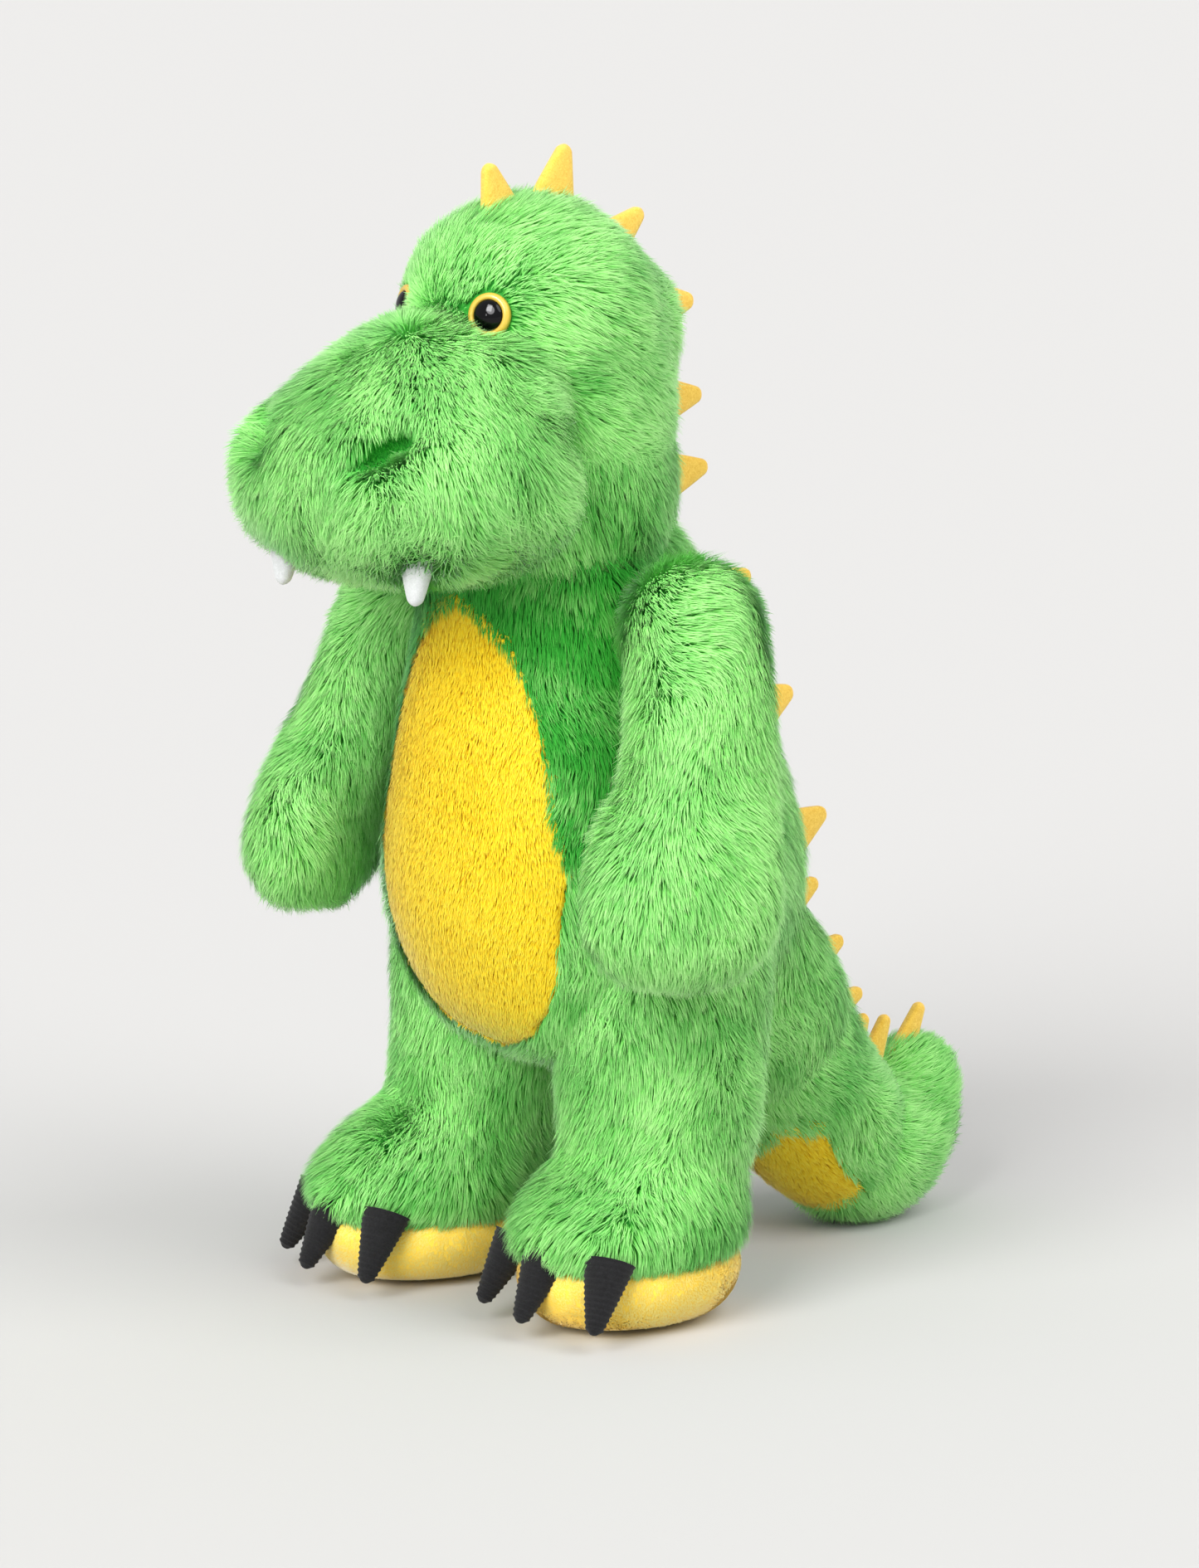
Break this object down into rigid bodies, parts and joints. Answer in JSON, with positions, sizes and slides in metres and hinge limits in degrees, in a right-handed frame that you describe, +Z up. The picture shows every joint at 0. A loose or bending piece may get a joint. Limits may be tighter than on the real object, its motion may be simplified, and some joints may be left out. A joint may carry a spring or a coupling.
{
  "type": "stuffed dinosaur",
  "caption": "Standing plush dinosaur with broad muzzle, safety eyes, felt back spikes, mitten arms, clawed feet and a floor-resting tail, bending at its seams.",
  "frame": {"origin": "centre of the overall footprint, on the surface that the feet and tail rest on", "axes": "+Z up, nose towards -Y, the toy's left side at +X"},
  "size_m": [0.2392, 0.3045, 0.3987],
  "materials": {
    "green_plush": "long pile plush, light tips over a darker root",
    "yellow_plush": "short pile plush",
    "sole_minky": "very short smooth pile",
    "yellow_felt": "pressed felt, two layers",
    "white_felt": "smooth white felt",
    "black_corduroy": "ribbed corduroy",
    "eye_gold": "moulded plastic, satin gloss",
    "eye_black": "moulded plastic, high gloss",
    "washer_plastic": "natural moulded plastic",
    "stuffing": "polyester fibre filling"
  },
  "bodies": {
    "arm_left": {"arm_fill_left": "stuffing", "arm_shell_left": "green_plush"},
    "arm_right": {"arm_fill_right": "stuffing", "arm_shell_right": "green_plush"},
    "torso": {"belly_panel": "yellow_plush", "spike_07": "yellow_felt", "spike_08": "yellow_felt", "spike_09": "yellow_felt", "spike_10": "yellow_felt", "torso_fill": "stuffing", "torso_shell": "green_plush"},
    "leg_left": {"claw_left_a": "black_corduroy", "claw_left_b": "black_corduroy", "claw_left_c": "black_corduroy", "foot_fill_left": "stuffing", "foot_shell_left": "green_plush", "leg_fill_left": "stuffing", "leg_shell_left": "green_plush", "sole_left": "sole_minky"},
    "leg_right": {"claw_right_a": "black_corduroy", "claw_right_b": "black_corduroy", "claw_right_c": "black_corduroy", "foot_fill_right": "stuffing", "foot_shell_right": "green_plush", "leg_fill_right": "stuffing", "leg_shell_right": "green_plush", "sole_right": "sole_minky"},
    "head": {"eye_pupil_left": "eye_black", "eye_pupil_right": "eye_black", "eye_ring_left": "eye_gold", "eye_ring_right": "eye_gold", "eye_washer_left": "washer_plastic", "eye_washer_right": "washer_plastic", "head_fill": "stuffing", "head_shell": "green_plush", "muzzle_fill": "stuffing", "muzzle_shell": "green_plush", "spike_01": "yellow_felt", "spike_02": "yellow_felt", "spike_03": "yellow_felt", "spike_04": "yellow_felt", "tooth_left": "white_felt", "tooth_right": "white_felt"},
    "neck": {"neck_fill": "stuffing", "neck_shell": "green_plush", "spike_05": "yellow_felt", "spike_06": "yellow_felt"},
    "tail": {"spike_11": "yellow_felt", "spike_12": "yellow_felt", "tail_fill": "stuffing", "tail_panel": "yellow_plush", "tail_shell": "green_plush"},
    "tail_tip": {"spike_13": "yellow_felt", "spike_14": "yellow_felt", "spike_15": "yellow_felt", "tail_tip_fill": "stuffing", "tail_tip_shell": "green_plush"}
  },
  "joints": [
    {"name": "head_turn", "type": "hinge", "parent": "torso", "child": "neck", "pos_m": [0, -0.05025, 0.264], "axis": [0, 0, 1], "range_deg": [-30, 30]},
    {"name": "head_nod", "type": "hinge", "parent": "neck", "child": "head", "pos_m": [0, -0.05375, 0.337], "axis": [1, 0, 0], "range_deg": [-18, 6]},
    {"name": "arm_swing_left", "type": "hinge", "parent": "torso", "child": "arm_left", "pos_m": [0.07, -0.04225, 0.24], "axis": [1, 0, 0], "range_deg": [-60, 14]},
    {"name": "arm_swing_right", "type": "hinge", "parent": "torso", "child": "arm_right", "pos_m": [-0.07, -0.04225, 0.24], "axis": [1, 0, 0], "range_deg": [-60, 14]},
    {"name": "leg_swing_left", "type": "hinge", "parent": "torso", "child": "leg_left", "pos_m": [0.042, -0.03025, 0.118], "axis": [1, 0, 0], "range_deg": [-14, 8]},
    {"name": "leg_swing_right", "type": "hinge", "parent": "torso", "child": "leg_right", "pos_m": [-0.042, -0.03025, 0.118], "axis": [1, 0, 0], "range_deg": [-14, 8]},
    {"name": "tail_bend", "type": "hinge", "parent": "torso", "child": "tail", "pos_m": [0, 0.05575, 0.076], "axis": [0, 0, 1], "range_deg": [-20, 20]},
    {"name": "tail_tip_bend", "type": "hinge", "parent": "tail", "child": "tail_tip", "pos_m": [0, 0.09975, 0.0295], "axis": [0, 0, 1], "range_deg": [-25, 25]}
  ]
}
